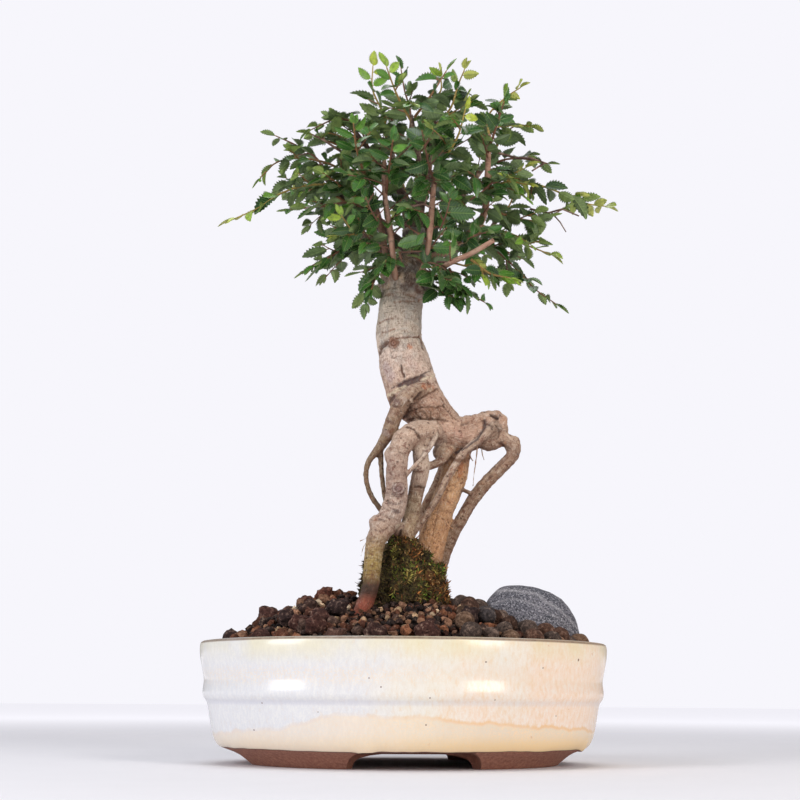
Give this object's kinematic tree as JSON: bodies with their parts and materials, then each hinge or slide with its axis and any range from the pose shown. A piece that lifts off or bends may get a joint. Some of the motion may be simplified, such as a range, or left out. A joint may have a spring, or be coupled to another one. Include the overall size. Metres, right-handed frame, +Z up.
{
  "type": "chinese elm bonsai in an oval pot",
  "caption": "Small potted tree with a curved trunk on exposed roots, a round leafy crown, moss, gritty soil and a pebble in a glazed oval pot on feet.",
  "frame": {"origin": "centre of the whole object's footprint box, on the surface that the pot's feet stand on", "axes": "+Z up; +X to the right and -Y towards the viewer when the tree's front is seen; the pot is longest along X"},
  "size_m": [0.2436, 0.17, 0.4169],
  "materials": {
    "glaze": "gloss",
    "screen": "satin",
    "wire": "satin",
    "soil": "matte",
    "lava": "matte",
    "moss": "matte",
    "stone": "satin",
    "bark": "matte",
    "leaf": "satin"
  },
  "bodies": {
    "root": {"pot": "glaze", "drain_screen_left": "screen", "drain_screen_right": "screen", "screen_clip_left": "wire", "screen_clip_right": "wire", "soil": "soil", "moss_mound": "moss", "river_stone": "stone", "trunk_and_roots": "bark", "lava_lump_1": "lava", "lava_lump_2": "lava", "lava_lump_3": "lava", "lava_lump_4": "lava", "lava_lump_5": "lava", "lava_lump_6": "lava", "lava_lump_7": "lava", "lava_lump_8": "lava", "leafy_shoot_01": "leaf", "leafy_shoot_02": "leaf", "leafy_shoot_03": "leaf", "leafy_shoot_04": "leaf", "leafy_shoot_05": "leaf", "leafy_shoot_06": "leaf", "leafy_shoot_07": "leaf", "leafy_shoot_08": "leaf", "leafy_shoot_09": "leaf", "leafy_shoot_10": "leaf", "leafy_shoot_11": "leaf", "leafy_shoot_12": "leaf", "leafy_shoot_13": "leaf", "leafy_shoot_14": "leaf", "leafy_shoot_15": "leaf", "leafy_shoot_16": "leaf", "leafy_shoot_17": "leaf", "leafy_shoot_18": "leaf", "leafy_shoot_19": "leaf", "leafy_shoot_20": "leaf", "leafy_shoot_21": "leaf", "leafy_shoot_22": "leaf", "leafy_shoot_23": "leaf", "leafy_shoot_24": "leaf", "leafy_shoot_25": "leaf", "leafy_shoot_26": "leaf", "leafy_shoot_27": "leaf", "leafy_shoot_28": "leaf", "leafy_shoot_29": "leaf", "leafy_shoot_30": "leaf", "leafy_shoot_31": "leaf", "leafy_shoot_32": "leaf", "leafy_shoot_33": "leaf", "leafy_shoot_34": "leaf", "leafy_shoot_35": "leaf", "leafy_shoot_36": "leaf", "leafy_shoot_37": "leaf", "leafy_shoot_38": "leaf", "leafy_shoot_39": "leaf", "leafy_shoot_40": "leaf", "leafy_shoot_41": "leaf"}
  },
  "joints": []
}
